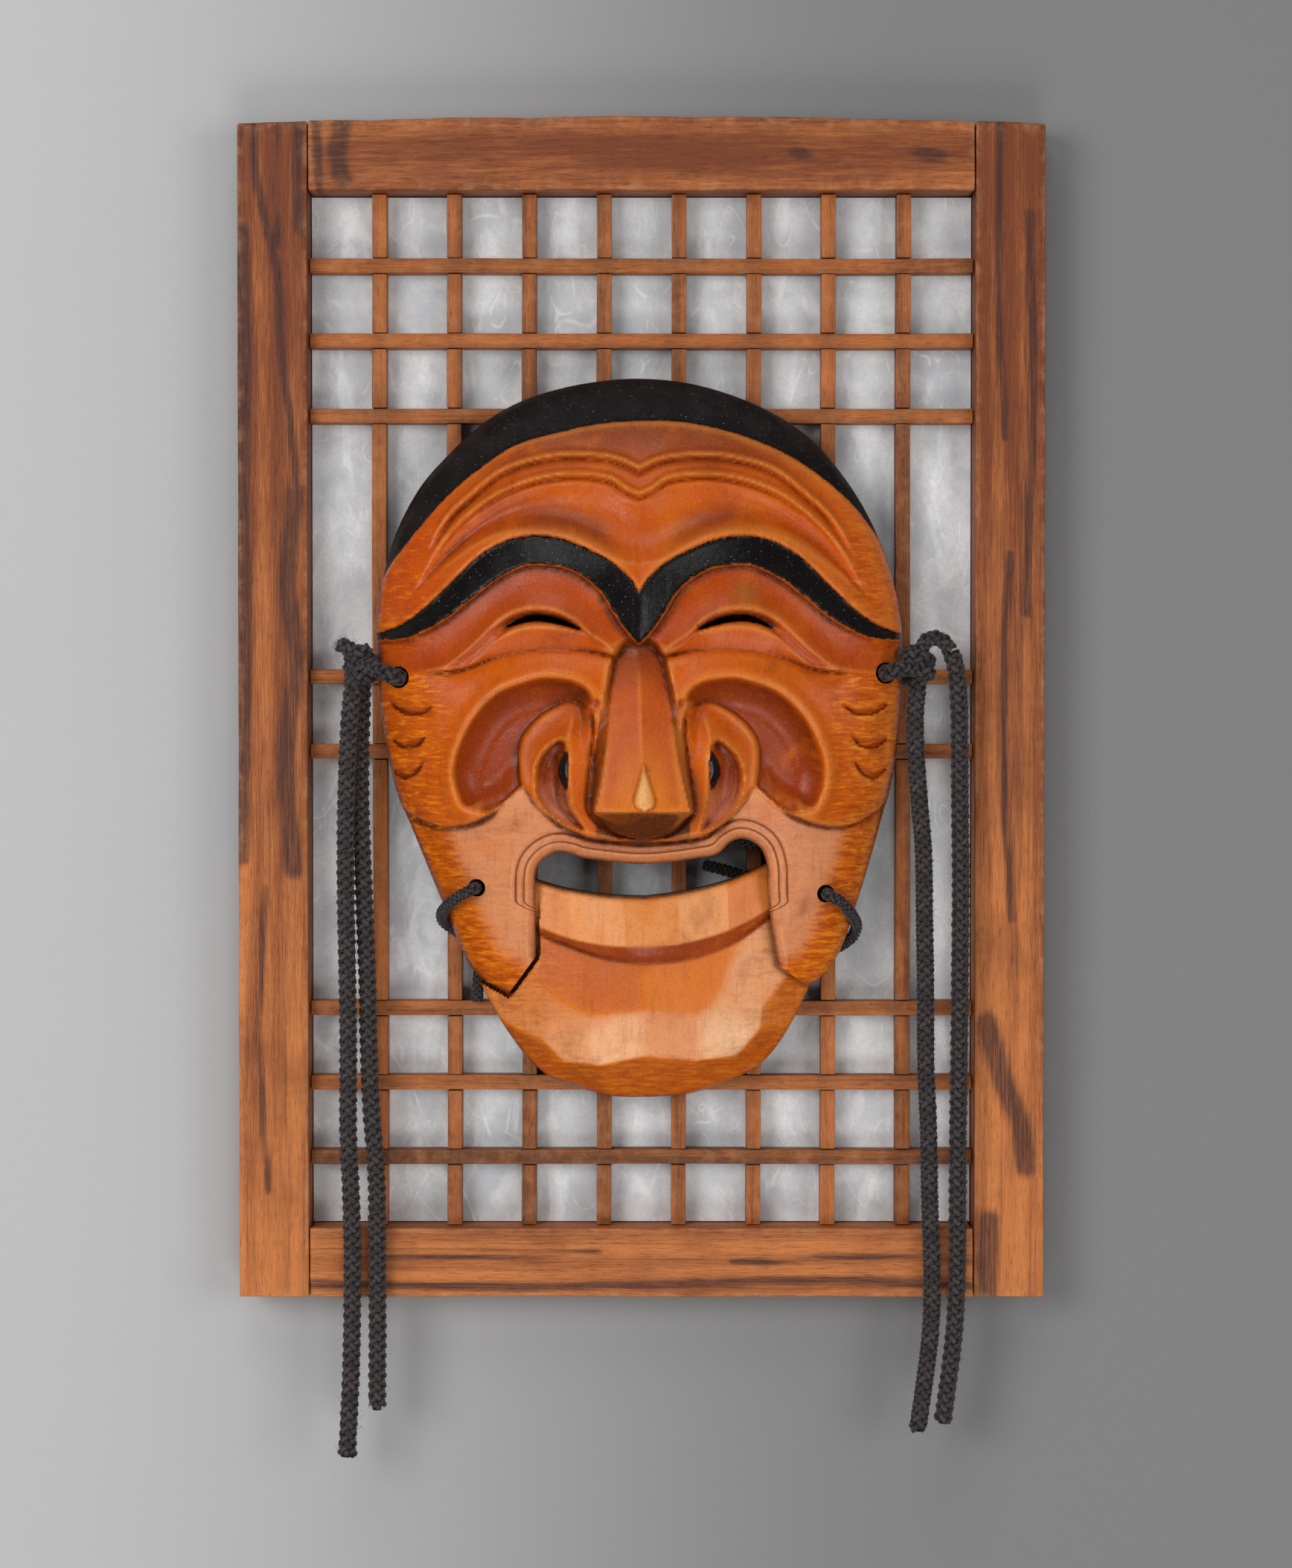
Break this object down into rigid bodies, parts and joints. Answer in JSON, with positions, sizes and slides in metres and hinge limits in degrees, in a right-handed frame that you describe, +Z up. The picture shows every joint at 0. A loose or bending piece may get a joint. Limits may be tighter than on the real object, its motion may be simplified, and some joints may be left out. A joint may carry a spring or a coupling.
{
  "type": "hahoe mask wall plaque",
  "caption": "Carved laughing folk-theatre mask with a separate hung jaw, tied by ear cords and set on a framed wooden lattice backed with mulberry paper, as a wall plaque.",
  "frame": {"origin": "middle of the flat back face of the top rail, which lies against the wall", "axes": "+Y into the wall, out of the plaque's back; +Z up along the stiles; +X to the right as seen from the front"},
  "size_m": [0.2654, 0.072, 0.4407],
  "materials": {
    "frame_wood": "satin brown stain with dark streaks",
    "lattice_wood": "satin brown stain",
    "mulberry_paper": "matt fibrous mulberry paper",
    "mask_wood": "gloss orange-brown varnish, painted black hair and brows",
    "tie_cord": "tight black braid",
    "ear_cord": "matt charcoal plait"
  },
  "bodies": {
    "root": {"stile_left": "frame_wood", "stile_right": "frame_wood", "rail_top": "frame_wood", "rail_bottom": "frame_wood", "lattice_level_1": "lattice_wood", "lattice_level_2": "lattice_wood", "lattice_level_3": "lattice_wood", "lattice_level_4": "lattice_wood", "lattice_level_5": "lattice_wood", "lattice_level_6": "lattice_wood", "lattice_level_7": "lattice_wood", "lattice_level_8": "lattice_wood", "lattice_upright_1": "lattice_wood", "lattice_upright_2": "lattice_wood", "lattice_upright_3": "lattice_wood", "lattice_upright_4": "lattice_wood", "lattice_upright_5": "lattice_wood", "lattice_upright_6": "lattice_wood", "lattice_upright_7": "lattice_wood", "lattice_upright_8": "lattice_wood", "mulberry_paper": "mulberry_paper", "upper_mask": "mask_wood", "jaw": "mask_wood", "jaw_tie_left": "tie_cord", "jaw_tie_right": "tie_cord", "ear_knot_left": "ear_cord", "ear_knot_right": "ear_cord", "cord_left_outer": "ear_cord", "cord_left_inner": "ear_cord", "cord_right_inner": "ear_cord", "cord_right_outer": "ear_cord"}
  },
  "joints": []
}
